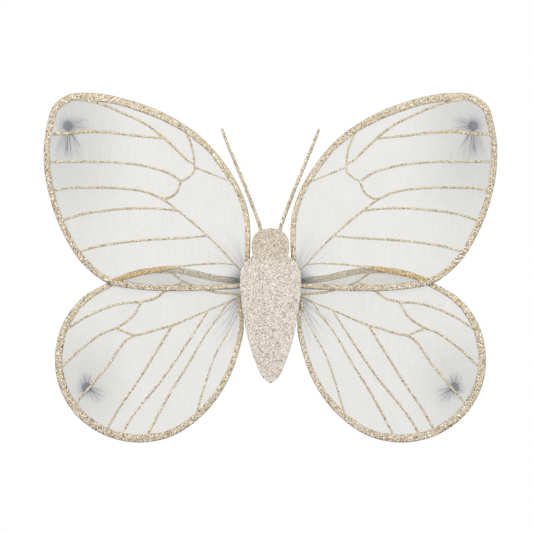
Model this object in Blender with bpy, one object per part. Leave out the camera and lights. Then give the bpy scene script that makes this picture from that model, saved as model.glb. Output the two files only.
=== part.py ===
"""A child's pair of fairy wings.

Four wire loops covered with nylon stand out from a flat, glittered body that is backed with felt.
The frame is in metres with +Z up and +X to the right. The decorated face looks towards -Y and the
wearer is on the +Y side. The origin is the centre of the felt patch's rear face.

Places are given in millimetres as (out, up): the distance from the middle plane, and the height.
"""

import math

import bmesh
import bpy
from mathutils import Vector

MM = 0.001
SIDES = {"left": -1, "right": 1}

# Layers of the body, from the wearer's back towards the decorated face: (front, rear) along Y.
GAP = 0.3
PATCH_LAYER = (-1.8, 0.0)
TAB_LAYER = (-1.8, -0.4)
BACK_LAYER = (-3.9, -2.1)
PADDING_LAYER = (-11.4, -4.2)
STIFFENER_LAYER = (-13.7, -11.7)
FRONT_LAYER = (-17.0, -14.0)
WING_PLANES = {"upper": -9.4, "lower": -6.2}
ANTENNA_PLANE = -12.7

# Wing sections, measured across the wing's own plane.
WIRE_RADIUS = 0.9
WIRE_INSET = 1.2
FABRIC_HALF = 0.4
BAND_LAYER = (-1.9, -1.4)
VEIN_PLANE = -0.95
VEIN_HALF_WIDTH = 1.35
VEIN_HALF_HEIGHT = 0.22
VEIN_STAGGER = 0.02
KNOT_RADIUS = 5.7
KNOT_DEPTH = 2.1

# Hinges and clearances.
HINGE_OUT = 34.5
HINGE_Y = -7.8
BODY_CLEARANCE = 1.5
CUTTER_REACH = 30.0
CROSSING = (171.4, 14.0)
CROSSING_SLOT = (1.1, 3.0)
THREAD_RADIUS = 0.4
THREAD_BEND = 1.6
THREAD_STEPS = 12
TIE_OUT = 10.4
TIE_REACH = 3.4
CROSSING_TIE_REACH = 1.6
CROSSING_TIE_BEND = 1.9
ACROSS, DEEP, UP = (1, 0, 0), (0, 1, 0), (0, 0, 1)

# Inner panels of the body, and the patch on its back.
STIFFENER_INSET = 5.0
STIFFENER_UP = (-74, 40)
PADDING_INSET = 2.0
HEAD_PADDING_UP = 46
TAIL_PADDING_UP = -20
PATCH_HALF_SIZE = (20, 37)
PATCH_STEPS = 32

# Antennae and shoulder straps.
ANTENNA_RADIUS = 1.9
ANTENNA_TAPER = [0.9, 0.55]
STEM_RADIUS = 0.8
STRAP_OUT = 8.0
STRAP_WIDTH = 10.0
STRAP_HALF_THICKNESS = 0.7
STRAP_END_UP = 46.0
TAB_HALF_HEIGHT = 6.0

# Half of the body's outline: the head from its crown down to the neck, then the tapering trunk.
HEAD = [(0, 71.8), (8.6, 70.3), (15.9, 65.6), (19.5, 57.5), (19.7, 49.5), (18.4, 42.9)]
TRUNK = [(18.4, 42.9), (26.6, 35.6), (31.6, 26.5), (32.2, 13), (28.6, -22), (23.2, -47), (15, -72),
         (7.6, -86.5), (0, -92.2)]

# Each wing's outer edge from one root to the other, as (out, up, width of the glitter band there).
WING_EDGES = {
    "upper": [(21.5, 41.6, 6), (20.9, 64, 5.8), (22.8, 87, 5.8), (31.3, 112.4, 6), (46.1, 137.8, 6.5),
              (72.1, 167.8, 7), (106, 190.8, 8), (148.4, 207.7, 8.6), (190.8, 215.6, 8.6),
              (214, 213.9, 8), (229.2, 203.6, 7.5), (238.1, 177.6, 7), (240.7, 143.6, 6.8),
              (235.8, 109.7, 6.8), (220.7, 67.3, 6.8), (198.9, 33.4, 6.8), (172, 12.9, 6.8),
              (142.6, 7, 6.8), (95, 4.9, 6.2), (60, 6.2, 5.6), (29, 9, 5)],
    "lower": [(29, 16.4, 5), (58.8, 21.2, 5.4), (90, 28.6, 5.8), (118, 29.9, 6), (149.4, 25.2, 6.2),
              (175.4, 13.2, 6.4), (198.8, -0.5, 7), (219.3, -26, 7.6), (229, -60, 8.2),
              (225.7, -93.8, 8.6), (206.5, -127.2, 8.8), (173.8, -149.4, 8.8), (139.9, -156.1, 8.6),
              (106, -149.9, 8), (72.1, -127.2, 7), (46.6, -93.2, 6.2), (33, -58, 5.6), (29, -36, 5.4),
              (29.8, -17, 5)],
}

# The part of each wing's wire that lies behind the body, as a V whose point is by the middle.
WIRE_ROOTS = {
    "upper": [(22.4, 37.6), (19.6, 30), (13, 25.2), (8, 23.4), (6, 21), (8, 18.6), (13, 16.8),
              (22, 12.6), (30, 10)],
    "lower": [(30, 15.2), (20, 10), (13, 4.2), (8, 2.4), (6, 0), (8, -2.4), (13, -4.2), (21, -8.4),
              (28.4, -12.6)],
}
ROOT_POINT_OUT = 6.0
ROOT_POINTS_UP = {"upper": 21, "lower": 0}

# The gathered nylon between the two legs of each V.
GATHERS = {
    "upper": [(13, 22.6), (19, 26.4), (23.6, 32.6), (27.6, 31.8), (30, 25), (30, 12.6), (23, 15),
              (14.6, 19)],
    "lower": [(13, 1.6), (20, 7.2), (29.6, 12.6), (29.2, 0), (27.6, -10), (20, -5.4), (13, -1.6)],
}

# Vein routes as (out, up), each from its root end to its outer end.
VEINS = {
    "upper": [
        [(30, 25), (36.6, 32.3), (49.5, 46.7), (66.8, 64), (97.8, 90.4), (112.4, 101.4), (129.7, 109.6),
         (159, 114.2), (195.5, 115.1), (217.4, 114.2), (232, 111.6)],
        [(97.8, 90.4), (113.3, 92.3), (140.7, 93.2), (177.2, 90.4), (199.1, 86.8), (223, 79.4)],
        [(66.8, 64), (86, 62.1), (122.4, 60), (159, 56.7), (177.2, 53.9), (207, 46.6)],
        [(30, 25), (36.6, 32.3), (46.4, 34.2), (67.7, 34.2), (102, 30.6), (142.6, 23.9), (170, 16.6)],
        [(112.4, 167.1), (140.7, 169.8), (184.5, 174.4), (199.1, 174.4), (212, 172.5), (235, 171.7)],
        [(209, 209.5), (184.5, 204.9), (151.7, 191.7), (131.6, 181.7), (112.4, 167.1), (98.7, 154.3),
         (88.7, 144.3), (80.5, 139)],
        [(91.8, 178), (84.1, 160.7), (80.5, 140.1), (80.5, 133.3), (86.9, 126), (95.1, 121.5)],
        [(80.5, 137), (67.7, 131.5), (53.1, 125.7), (40, 120)],
        [(95.1, 121.5), (104.2, 128.2), (129.7, 137), (169.9, 142.1), (204.6, 142.6), (236.5, 142.5)],
        [(95.1, 121.5), (98.7, 111.4), (104.2, 106), (111, 103.4), (119, 104.6)],
    ],
    "lower": [
        [(92.2, 15.4), (102, 10.3), (113.3, 4), (122.4, -2.4), (137, -6), (159, -8.2), (177.2, -13.7),
         (195.5, -22.1), (217, -35.5)],
        [(137, -6), (146.2, -21.5), (164.4, -33.9), (177.2, -39.2), (195.5, -51.6), (224.5, -78)],
        [(164.4, -34.3), (155.3, -37.9), (145.3, -42)],
        [(30, 1), (44, -6), (67.7, -15.5), (104.2, -31), (122.4, -36.1), (133.4, -39.8), (145.3, -42.1),
         (173.6, -75.4), (195.5, -100.9), (210.5, -118)],
        [(104.2, -31), (122.4, -60.8), (146.2, -98.2), (159, -116.4), (175, -144)],
        [(65.9, -15.1), (85.9, -46.2), (113.3, -86.3), (148, -130.1), (159.5, -149)],
        [(30, 1), (44, -6.9), (54.9, -21.5), (67.7, -38.9), (85.9, -69.9), (104.2, -99.1), (131.5, -149)],
        [(33.6, -0.6), (34.8, -17), (40.3, -29.7), (58.6, -62.6), (69.5, -93.6), (79.5, -128)],
        [(30, 0.8), (40.4, 2.3), (58.6, 4.1), (74.7, 8.7), (92.2, 15.4), (107, 26.5)],
    ],
}
VEIN_ROOT_WIDTH = 0.62
VEIN_ROOT_REACH = 60.0

KNOTS = {"upper": (215.1, 180.6), "lower": (195.7, -97.6)}

ANTENNA_ROUTE = [(11.2, 74), (20.4, 99.6), (35.7, 137.8), (43.7, 156.9), (51.1, 176)]
STEM_ROUTE = [(10.1, 69.2), (8.6, 63), (6.8, 50)]

# A strap's route as (back, up), from its upper end to its lower one.
STRAP_ROUTE = [(7, 46), (34, 45), (62, 36), (82, 15), (88, -12), (78, -37), (55, -54), (29, -56), (7, -46)]

# Finishes: sRGB colour, roughness, metallic value.
FINISHES = {
    "nylon": ((0.90, 0.90, 0.89), 0.55, 0.0),
    "steel_wire": ((0.62, 0.63, 0.65), 0.35, 1.0),
    "champagne_glitter": ((0.82, 0.75, 0.66), 0.45, 0.4),
    "golden_glitter": ((0.76, 0.66, 0.49), 0.42, 0.5),
    "beige_glitter_foam": ((0.80, 0.75, 0.69), 0.5, 0.3),
    "dark_thread": ((0.36, 0.36, 0.38), 0.8, 0.0),
    "grey_nylon_knot": ((0.45, 0.45, 0.48), 0.75, 0.0),
    "white_felt": ((0.90, 0.89, 0.86), 0.95, 0.0),
    "white_card": ((0.88, 0.88, 0.86), 0.7, 0.0),
    "white_elastic": ((0.93, 0.93, 0.92), 0.8, 0.0),
    "polyester_wadding": ((0.95, 0.95, 0.94), 1.0, 0.0),
}


def clear_scene():
    for obj in list(bpy.data.objects):
        bpy.data.objects.remove(obj)


def collection(name, helper=False):
    made = bpy.data.collections.new(name)
    made.hide_render = helper
    bpy.context.scene.collection.children.link(made)
    return made


def linear(channel):
    return channel / 12.92 if channel <= 0.04045 else ((channel + 0.055) / 1.055) ** 2.4


def finish_material(name):
    material = bpy.data.materials.get(name)
    if material:
        return material
    colour, roughness, metallic = FINISHES[name]
    material = bpy.data.materials.new(name)
    material.use_nodes = True
    shader = material.node_tree.nodes["Principled BSDF"]
    shader.inputs["Base Color"].default_value = (*[linear(c) for c in colour], 1)
    shader.inputs["Roughness"].default_value = roughness
    shader.inputs["Metallic"].default_value = metallic
    return material


def smooth(points, steps=2):
    """Points of a smooth curve through the given ones, with so many steps from each to the next."""
    knots = [Vector(point) for point in points]
    last = len(knots) - 1

    def tangent(index):
        before = knots[index] - knots[max(index - 1, 0)]
        after = knots[min(index + 1, last)] - knots[index]
        if not before.length or not after.length:
            return (before + after).normalized()
        weights = before.length + after.length
        return (before.normalized() * after.length + after.normalized() * before.length) / weights

    curve = []
    for span in range(last):
        start = knots[span]
        end = knots[span + 1]
        length = (end - start).length
        for step in range(steps):
            t = step / steps
            ease = t * t * (3 - 2 * t)
            leave = t * (1 - t) ** 2 * length
            arrive = t * t * (t - 1) * length
            curve.append(start.lerp(end, ease) + tangent(span) * leave + tangent(span + 1) * arrive)
    curve.append(knots[-1].copy())
    return curve


def offset(points, distances, closed=False):
    """The path moved to its left by a distance for each point, or by one distance."""
    if not hasattr(distances, "__len__"):
        distances = [distances] * len(points)
    last = len(points) - 1
    moved = []
    for index, point in enumerate(points):
        before = points[index - 1] if closed or index else point
        after = points[(index + 1) % len(points)] if closed or index < last else point
        along = (after - before).to_2d().normalized()
        left = Vector((-along.y, along.x)) * distances[index]
        moved.append(point.to_2d() + left)
    return moved


def mirrored(points, side):
    return [Vector((point[0] * side, *point[1:])) for point in points]


def body_outline():
    """The whole outline of the body, clockwise from the crown as the decorated face is seen."""
    half = smooth(HEAD, 3)[:-1] + smooth(TRUNK, 3)
    return half + mirrored(half[-2:0:-1], -1)


def curve_object(name, paths, finish, home, radii=None):
    data = bpy.data.curves.new(name, "CURVE")
    data.dimensions = "3D"
    data.resolution_u = 1
    data.twist_mode = "Z_UP"
    data.use_fill_caps = True
    for path in paths:
        spline = data.splines.new("POLY")
        spline.points.add(len(path) - 1)
        for index, point in enumerate(path):
            place = Vector(point).to_3d() * MM
            spline.points[index].co = (*place, 1)
            spline.points[index].radius = radii[index] if radii else 1
    data.materials.append(finish_material(finish))
    obj = bpy.data.objects.new(name, data)
    home.objects.link(obj)
    return obj


def lay_flat(obj, y):
    """Turns a shape drawn in its own XY plane upright, facing -Y, at this depth."""
    obj.rotation_euler = (math.pi / 2, 0, 0)
    obj.location = (0, y * MM, 0)


def plate(name, outline, layer, finish, home):
    """A flat sheet with this outline, between two depths along Y."""
    obj = curve_object(name, [outline], finish, home)
    obj.data.dimensions = "2D"
    obj.data.fill_mode = "BOTH"
    obj.data.splines[0].use_cyclic_u = True
    obj.data.extrude = (layer[1] - layer[0]) / 2 * MM
    lay_flat(obj, (layer[0] + layer[1]) / 2)
    return obj


def tube(name, path, radius, y, finish, home, radii=None, rings=2):
    """A round wire along a path that lies in the plane at this depth."""
    obj = curve_object(name, [path], finish, home, radii)
    obj.data.bevel_depth = radius * MM
    obj.data.bevel_resolution = rings
    lay_flat(obj, y)
    return obj


def as_mesh(obj, home):
    """The same object as a mesh whose caps are welded, which takes Boolean modifiers."""
    graph = bpy.context.evaluated_depsgraph_get()
    mesh = bpy.data.meshes.new_from_object(obj.evaluated_get(graph))
    shape = bmesh.new()
    shape.from_mesh(mesh)
    bmesh.ops.remove_doubles(shape, verts=shape.verts, dist=0.00001)
    bmesh.ops.recalc_face_normals(shape, faces=shape.faces)
    shape.to_mesh(mesh)
    shape.free()
    name = obj.name
    matrix = obj.matrix_world.copy()
    bpy.data.objects.remove(obj)
    made = bpy.data.objects.new(name, mesh)
    made.matrix_world = matrix
    home.objects.link(made)
    return made


def cut(obj, cutter):
    modifier = obj.modifiers.new(cutter.name, "BOOLEAN")
    modifier.object = cutter
    modifier.operation = "DIFFERENCE"


def hide_helper(obj):
    obj.hide_render = True
    obj.display_type = "WIRE"


def hinge_empty(name, place):
    empty = bpy.data.objects.new(name, None)
    empty.location = Vector(place) * MM
    empty.empty_display_size = 0.01
    PARTS.objects.link(empty)
    return empty


def attach(obj, empty):
    bpy.context.view_layer.update()
    obj.parent = empty
    obj.matrix_parent_inverse = empty.matrix_world.inverted()


def body_cutter():
    """The space around the body that the swinging wings stay out of."""
    outline = offset(body_outline(), BODY_CLEARANCE, closed=True)
    layer = (-CUTTER_REACH, CUTTER_REACH)
    cutter = as_mesh(plate("body_clearance", outline, layer, "white_card", CUTTERS), CUTTERS)
    hide_helper(cutter)
    return cutter


def crossing_cutter(side_name, side):
    """A slot through both wings where the thread tie goes round their crossed wires."""
    out, up = CROSSING
    wide, tall = CROSSING_SLOT
    corners = [(out - wide, up - tall), (out + wide, up - tall), (out + wide, up + tall),
               (out - wide, up + tall)]
    outline = mirrored([Vector(corner) for corner in corners], side)
    layer = (-CUTTER_REACH, CUTTER_REACH)
    name = f"{side_name}_crossing_slot"
    cutter = as_mesh(plate(name, outline, layer, "white_card", CUTTERS), CUTTERS)
    hide_helper(cutter)
    return cutter


def thread_loop(name, centre, long_axis, short_axis, reach, bend):
    """A closed loop of thread: two half circles with this bend, drawn apart along the long axis."""
    loop = []
    for step in range(THREAD_STEPS):
        angle = math.tau * (step + 0.5) / THREAD_STEPS
        along = math.copysign(reach, math.cos(angle)) + bend * math.cos(angle)
        across = bend * math.sin(angle)
        loop.append(Vector(centre) + Vector(long_axis) * along + Vector(short_axis) * across)
    obj = curve_object(name, [loop], "dark_thread", PARTS)
    obj.data.twist_mode = "MINIMUM"
    obj.data.splines[0].use_cyclic_u = True
    obj.data.bevel_depth = THREAD_RADIUS * MM
    obj.data.bevel_resolution = 0
    return obj


def vein_radii(path):
    """Veins swell from their roots to their full width, away from the body."""
    widths = []
    for point in path:
        share = min(max((point[0] - HINGE_OUT) / VEIN_ROOT_REACH, 0), 1)
        widths.append(VEIN_ROOT_WIDTH + (1 - VEIN_ROOT_WIDTH) * share)
    return widths


def vein_network(name, routes, plane, side):
    """The whole branching bead of glitter glue on one wing, as a single body."""
    strokes = bpy.data.collections.new(f"{name}_strokes")
    CUTTERS.children.link(strokes)
    trunk = None
    for index, route in enumerate(routes):
        path = smooth(route)
        radii = vein_radii(path)
        depth = plane + VEIN_PLANE - index * VEIN_STAGGER
        home = strokes if trunk else PARTS
        label = f"{name}_stroke_{index}" if trunk else name
        bead = tube(label, mirrored(path, side), VEIN_HALF_WIDTH, depth, "golden_glitter", home, radii, 0)
        bead.scale.z = VEIN_HALF_HEIGHT / VEIN_HALF_WIDTH
        bpy.context.view_layer.update()
        bead = as_mesh(bead, home)
        if trunk:
            hide_helper(bead)
        else:
            trunk = bead
    merge = trunk.modifiers.new("branches", "BOOLEAN")
    merge.operand_type = "COLLECTION"
    merge.collection = strokes
    merge.operation = "UNION"
    return trunk


def knot(name, place, y, side):
    """A twisted button of gathered nylon, tied off behind the sheet."""
    mesh = bpy.data.meshes.new(name)
    shape = bmesh.new()
    bmesh.ops.create_uvsphere(shape, u_segments=12, v_segments=7, radius=KNOT_RADIUS * MM)
    bmesh.ops.scale(shape, vec=(1, 1, KNOT_DEPTH / KNOT_RADIUS), verts=shape.verts)
    shape.to_mesh(mesh)
    shape.free()
    mesh.shade_smooth()
    mesh.materials.append(finish_material("grey_nylon_knot"))
    obj = bpy.data.objects.new(name, mesh)
    PARTS.objects.link(obj)
    obj.rotation_euler = (math.pi / 2, 0, 0)
    obj.location = Vector((place[0] * side, y, place[1])) * MM
    return obj


def wing(kind, side_name, side, hinge, cutters):
    """One wing: its wire, nylon, glitter band, veins and knot, all swinging on the side's hinge."""
    name = f"{kind}_{side_name}"
    plane = WING_PLANES[kind]
    edge = smooth(WING_EDGES[kind])
    inward = -1
    wire_path = offset(edge, inward * WIRE_INSET)
    fabric_edge = offset(edge, inward * (WIRE_INSET + WIRE_RADIUS + GAP))
    band_inner = offset(edge, [inward * point.z for point in edge])
    band = [point.to_2d() for point in edge] + band_inner[::-1]

    body_cut = cutters[0]
    wire = as_mesh(tube(f"{name}_wire", mirrored(wire_path, side), WIRE_RADIUS, plane, "steel_wire", PARTS,
                        rings=1), PARTS)
    fabric = as_mesh(plate(f"{name}_fabric", mirrored(fabric_edge, side),
                           (plane - FABRIC_HALF, plane + FABRIC_HALF), "nylon", PARTS), PARTS)
    layer = [plane + depth for depth in BAND_LAYER]
    glitter = as_mesh(plate(f"{name}_glitter_edge", mirrored(band, side), layer, "champagne_glitter",
                            PARTS), PARTS)
    veins = vein_network(f"{name}_veins", VEINS[kind], plane, side)
    for piece in (wire, fabric, glitter, veins):
        cut(piece, body_cut)
    for piece in (fabric, glitter, veins):
        cut(piece, cutters[1])
    button = knot(f"{name}_knot", KNOTS[kind], plane + FABRIC_HALF + GAP + KNOT_DEPTH, side)
    for piece in (wire, fabric, glitter, veins, button):
        attach(piece, hinge)


def wing_root(kind, side_name, side):
    """What holds one wing behind the body: the bend of its wire, its gathered nylon and the thread."""
    name = f"{kind}_{side_name}"
    plane = WING_PLANES[kind]
    path = mirrored(smooth(WIRE_ROOTS[kind]), side)
    tube(f"{name}_wire_root", path, WIRE_RADIUS, plane, "steel_wire", PARTS, rings=1)
    outline = mirrored([Vector(point) for point in GATHERS[kind]], side)
    plate(f"{name}_gather", outline, (plane - FABRIC_HALF, plane + FABRIC_HALF), "nylon", PARTS)
    centre = (TIE_OUT * side, plane, ROOT_POINTS_UP[kind])
    thread_loop(f"{name}_thread_tie", centre, UP, DEEP, TIE_REACH, THREAD_BEND)


def body_panels():
    outline = body_outline()
    plate("body_front", outline, FRONT_LAYER, "beige_glitter_foam", PARTS)
    plate("body_back", outline, BACK_LAYER, "white_felt", PARTS)
    foot, top = STIFFENER_UP
    inner = [point for point in offset(outline, -STIFFENER_INSET, closed=True) if foot < point.y < top]
    plate("body_stiffener", inner, STIFFENER_LAYER, "white_card", PARTS)
    inner = offset(outline, -PADDING_INSET, closed=True)
    head = [point for point in inner if point.y > HEAD_PADDING_UP]
    tail = [point for point in inner if point.y < TAIL_PADDING_UP]
    plate("head_padding", head, PADDING_LAYER, "polyester_wadding", PARTS)
    plate("tail_padding", tail, PADDING_LAYER, "polyester_wadding", PARTS)
    patch = []
    for step in range(PATCH_STEPS):
        angle = math.tau * step / PATCH_STEPS
        patch.append(Vector((PATCH_HALF_SIZE[0] * math.sin(angle), PATCH_HALF_SIZE[1] * math.cos(angle))))
    plate("back_patch", patch, PATCH_LAYER, "white_felt", PARTS)


def antenna(side_name, side):
    """A glittered stalk that bends at the crown, and the bare wire that anchors it in the head."""
    out, up = ANTENNA_ROUTE[0]
    hinge = hinge_empty(f"{side_name}_antenna_hinge", (out * side, ANTENNA_PLANE, up))
    path = mirrored(smooth(ANTENNA_ROUTE, 3), side)
    radii = [1.0] * (len(path) - len(ANTENNA_TAPER)) + ANTENNA_TAPER
    name = f"{side_name}_antenna"
    stalk = tube(name, path, ANTENNA_RADIUS, ANTENNA_PLANE, "champagne_glitter", PARTS, radii)
    attach(stalk, hinge)
    path = mirrored(smooth(STEM_ROUTE), side)
    tube(f"{name}_stem", path, STEM_RADIUS, ANTENNA_PLANE, "steel_wire", PARTS, rings=1)


def strap(side_name, side):
    """A flat elastic loop for one arm, and the two ends that are sewn to the back."""
    centre = STRAP_OUT * side
    route = smooth(STRAP_ROUTE, 3)
    outline = offset(route, STRAP_HALF_THICKNESS) + offset(route, -STRAP_HALF_THICKNESS)[::-1]
    hinge = hinge_empty(f"{side_name}_strap_hinge", (centre, 0, 0))
    layer = (-STRAP_WIDTH / 2, STRAP_WIDTH / 2)
    elastic = plate(f"{side_name}_strap", outline, layer, "white_elastic", PARTS)
    elastic.rotation_euler = (math.pi / 2, 0, math.pi / 2)
    elastic.location = (centre * MM, 0, 0)
    attach(elastic, hinge)
    for end, up in (("upper", STRAP_END_UP), ("lower", -STRAP_END_UP)):
        half = STRAP_WIDTH / 2
        corners = [(centre - half, up - TAB_HALF_HEIGHT), (centre + half, up - TAB_HALF_HEIGHT),
                   (centre + half, up + TAB_HALF_HEIGHT), (centre - half, up + TAB_HALF_HEIGHT)]
        plate(f"{side_name}_strap_tab_{end}", corners, TAB_LAYER, "white_elastic", PARTS)


clear_scene()
PARTS = collection("fairy_wings")
CUTTERS = collection("cutters", helper=True)
body_panels()
clearance = body_cutter()
for label, sign in SIDES.items():
    wing_hinge = hinge_empty(f"{label}_wing_hinge", (HINGE_OUT * sign, HINGE_Y, 0))
    slot = crossing_cutter(label, sign)
    for level in ("upper", "lower"):
        wing(level, label, sign, wing_hinge, (clearance, slot))
        wing_root(level, label, sign)
    crossing = (CROSSING[0] * sign, HINGE_Y, CROSSING[1])
    tie = thread_loop(f"{label}_crossing_tie", crossing, DEEP, UP, CROSSING_TIE_REACH, CROSSING_TIE_BEND)
    attach(tie, wing_hinge)
    antenna(label, sign)
    strap(label, sign)
for level, height in ROOT_POINTS_UP.items():
    centre = (0, WING_PLANES[level], height)
    thread_loop(f"{level}_wire_binding", centre, ACROSS, DEEP, ROOT_POINT_OUT, THREAD_BEND)
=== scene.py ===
"""The looks of a child's pair of fairy wings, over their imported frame.

Metres, +Z up and +X to the right. The decorated face looks towards -Y and the wearer is on +Y.
Places on the wings are written in millimetres as (out, up): the distance from the middle plane, and
the height.
"""

import math

import bmesh
import bpy
import numpy as np
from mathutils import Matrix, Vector


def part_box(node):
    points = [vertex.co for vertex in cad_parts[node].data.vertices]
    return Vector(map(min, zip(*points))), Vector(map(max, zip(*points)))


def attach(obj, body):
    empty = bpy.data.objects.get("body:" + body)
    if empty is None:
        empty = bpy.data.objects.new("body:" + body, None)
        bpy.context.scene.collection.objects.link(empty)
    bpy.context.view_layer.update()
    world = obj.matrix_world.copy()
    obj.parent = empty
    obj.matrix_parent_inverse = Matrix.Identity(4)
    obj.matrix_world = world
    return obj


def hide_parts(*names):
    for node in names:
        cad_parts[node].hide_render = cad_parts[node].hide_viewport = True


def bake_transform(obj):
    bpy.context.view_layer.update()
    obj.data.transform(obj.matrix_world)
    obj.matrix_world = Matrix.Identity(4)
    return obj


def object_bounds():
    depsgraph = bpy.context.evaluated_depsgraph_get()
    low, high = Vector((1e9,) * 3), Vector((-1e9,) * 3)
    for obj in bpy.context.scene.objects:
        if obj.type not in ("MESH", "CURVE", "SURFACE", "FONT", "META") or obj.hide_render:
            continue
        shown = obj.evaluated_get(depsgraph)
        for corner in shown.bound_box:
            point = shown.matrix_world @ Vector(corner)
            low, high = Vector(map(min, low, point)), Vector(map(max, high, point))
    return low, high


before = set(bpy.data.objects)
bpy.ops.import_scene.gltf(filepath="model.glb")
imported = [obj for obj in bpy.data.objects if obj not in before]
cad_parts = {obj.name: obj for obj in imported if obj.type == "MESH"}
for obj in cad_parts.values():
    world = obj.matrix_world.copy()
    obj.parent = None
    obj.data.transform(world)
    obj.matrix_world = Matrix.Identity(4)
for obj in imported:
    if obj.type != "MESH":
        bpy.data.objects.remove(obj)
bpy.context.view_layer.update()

# ---------------------------------------------------------------------------------------------------
# Camera: a long lens straight in front of the wings, level, a little above their middle.

camera = bpy.data.objects.new("camera", bpy.data.cameras.new("camera"))
bpy.context.scene.collection.objects.link(camera)
camera.data.lens = 85
camera.data.sensor_width = 36
camera.data.dof.use_dof = False
camera.location = (-0.00424, -1.344, 0.0313)
camera.rotation_euler = (math.pi / 2, 0, 0)
bpy.context.scene.camera = camera

# ---------------------------------------------------------------------------------------------------
# Studio: a white sweep all round, two soft boxes in front and one behind, so that the sheer cloth is
# seen against white and the glitter has something brighter and something darker to mirror.


def colour(code):
    """A linear colour from its sRGB hex code."""
    channels = [int(code[place : place + 2], 16) / 255 for place in (1, 3, 5)]
    return (*[c / 12.92 if c <= 0.04045 else ((c + 0.055) / 1.055) ** 2.4 for c in channels], 1)


def add_node(tree, kind, inputs=None, **settings):
    """Adds a shader node. Settings are its own properties; inputs are values, colours or links."""
    made = tree.nodes.new(kind)
    for key, value in settings.items():
        setattr(made, key, value)
    for key, value in (inputs or {}).items():
        if isinstance(value, bpy.types.NodeSocket):
            tree.links.new(value, made.inputs[key])
        else:
            made.inputs[key].default_value = colour(value) if isinstance(value, str) else value
    return made


bpy.context.scene.view_settings.view_transform = "Standard"
world = bpy.data.worlds.new("white studio")
world.use_nodes = True
bpy.context.scene.world = world
tree = world.node_tree
seen = add_node(tree, "ShaderNodeLightPath").outputs["Is Camera Ray"]
direction = add_node(tree, "ShaderNodeTexCoord").outputs["Generated"]
height = add_node(tree, "ShaderNodeSeparateXYZ", {0: direction}).outputs["Z"]
glow = add_node(tree, "ShaderNodeMapRange", {0: height, 1: -1.0, 2: 1.0, 3: 0.5, 4: 0.98}).outputs[0]
level = add_node(tree, "ShaderNodeMix", {"Factor": seen, 2: glow, 3: 1.0}).outputs[0]
tree.nodes["Background"].inputs["Color"].default_value = colour("#FFFFFF")
tree.links.new(level, tree.nodes["Background"].inputs["Strength"])

for label, place, size, power in (
    ("key soft box", (-1.0, -1.5, 1.3), 0.7, 11),
    ("fill soft box", (1.4, -1.5, 0.1), 0.9, 5),
    ("rear soft box", (0.7, 1.7, 0.8), 0.9, 12),
):
    light = bpy.data.objects.new(label, bpy.data.lights.new(label, "AREA"))
    light.data.size = size
    light.data.energy = power
    light.location = place
    light.rotation_euler = (-Vector(place)).to_track_quat("-Z", "Y").to_euler()
    bpy.context.scene.collection.objects.link(light)

# ---------------------------------------------------------------------------------------------------
# Wing wires: one loop of galvanised steel for each wing. Both ends come together behind the body in
# a V, where thread ties and binds them.

MM = 0.001
SIDES = {"left": -1, "right": 1}

# The wire's radius, how far its middle lies inside the wing's edge, and in how many steps the edge and
# the wire go from each of their points to the next.
WIRE_RADIUS = 0.9
WIRE_INSET = 1.2
EDGE_STEPS = 4
WIRE_STEPS = 7

# Each wing's outer edge from one root to the other, as (out, up, width of the glitter band there).
WING_EDGES = {
    "upper": [(21.5, 41.6, 6), (20.9, 64, 5.8), (22.8, 87, 5.8), (31.3, 112.4, 6), (46.1, 137.8, 6.5),
              (72.1, 167.8, 7), (106, 190.8, 8), (148.4, 207.7, 8.6), (190.8, 215.6, 8.6),
              (214, 213.9, 8), (229.2, 203.6, 7.5), (238.1, 177.6, 7), (240.7, 143.6, 6.8),
              (235.8, 109.7, 6.8), (220.7, 67.3, 6.8), (198.9, 33.4, 6.8), (172, 12.9, 6.8),
              (142.6, 7, 6.8), (95, 4.9, 6.2), (60, 6.2, 5.6), (29, 9, 5)],
    "lower": [(29, 17.2, 6), (58.8, 22.6, 7), (90, 29.2, 6.8), (118, 30.7, 6.4), (149.4, 25.8, 6.2),
              (175.4, 13.2, 6.4), (198.8, -0.5, 7), (219.3, -26, 7.6), (229, -60, 8.2),
              (225.7, -93.8, 8.6), (206.5, -127.2, 8.8), (173.8, -149.4, 8.8), (139.9, -156.1, 8.6),
              (106, -149.9, 8), (72.1, -127.2, 7), (46.6, -93.2, 6.2), (33, -58, 5.7), (28.3, -36, 5.6),
              (28.7, -17, 5.2)],
}

# The two legs behind the body: from the loop's last point to the V, and from the V to its first one.
WIRE_LEGS = {
    "upper": ([(22, 12.6), (13, 16.8), (8, 18.6)],
              [(6, 21), (8, 23.4), (13, 25.2), (19.6, 30), (22.4, 37.6)]),
    "lower": ([(28.4, -12.6), (21, -8.4), (13, -4.2), (8, -2.4)],
              [(6, 0), (8, 2.4), (13, 4.2), (20, 10)]),
}

# An upright line beside the body for each side's wings, from the first point to the second; the wings are
# not bent along it.
WING_BENDS = {side: ((0.025 * side, 0, 0), (0.044 * side, 0, 0)) for side in SIDES.values()}


def smooth(points, steps, closed=False):
    """A smooth curve through the points, with so many steps from each to the next."""
    points = np.array(points, float)
    ring = np.vstack([points, points[:1]]) if closed else points
    lengths = np.linalg.norm(np.diff(ring, axis=0), axis=1)[:, None]
    unit = np.diff(ring, axis=0) / lengths
    before, after = np.vstack([unit[-1:], unit]), np.vstack([unit, unit[:1]])
    weight_before, weight_after = np.vstack([lengths[-1:], lengths]), np.vstack([lengths, lengths[:1]])
    tangents = (before * weight_after + after * weight_before) / (weight_before + weight_after)
    if not closed:
        tangents[0], tangents[-1] = unit[0], unit[-1]
    t = np.linspace(0, 1, steps, endpoint=False)[:, None]
    spans = [
        ring[i] + (ring[i + 1] - ring[i]) * t * t * (3 - 2 * t)
        + tangents[i] * lengths[i] * t * (1 - t) ** 2
        + tangents[i + 1] * lengths[i] * t * t * (t - 1)
        for i in range(len(unit))
    ]
    return np.vstack(spans if closed else [*spans, points[-1:]])


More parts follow.
